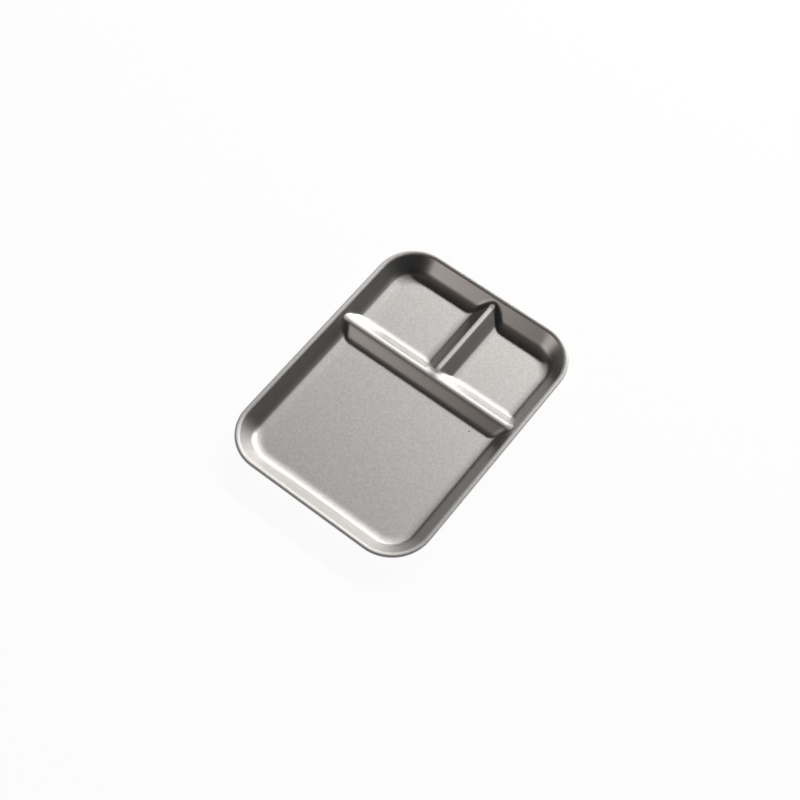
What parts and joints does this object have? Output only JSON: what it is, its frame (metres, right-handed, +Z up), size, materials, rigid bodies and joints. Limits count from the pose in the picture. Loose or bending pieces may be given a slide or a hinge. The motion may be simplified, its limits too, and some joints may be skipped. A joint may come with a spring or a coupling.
{
  "type": "compartment tray",
  "caption": "Shallow pressed steel lunch tray with rounded corners, a large compartment and two smaller ones parted by low ridges, and a wired rolled rim.",
  "frame": {"origin": "on the surface the tray stands on, under the middle of its outline", "axes": "+Z up out of the compartments, +Y along the length towards the two small compartments, +X across the width"},
  "size_m": [0.188, 0.25, 0.015],
  "materials": {
    "tumbled_stainless": "matt tumbled stainless steel with a fine mottled grain and faint random scratches",
    "drawn_wire": "plain drawn steel wire, hidden inside the rim"
  },
  "bodies": {
    "root": {"tray_pan": "tumbled_stainless", "rim_wire": "drawn_wire"}
  },
  "joints": []
}
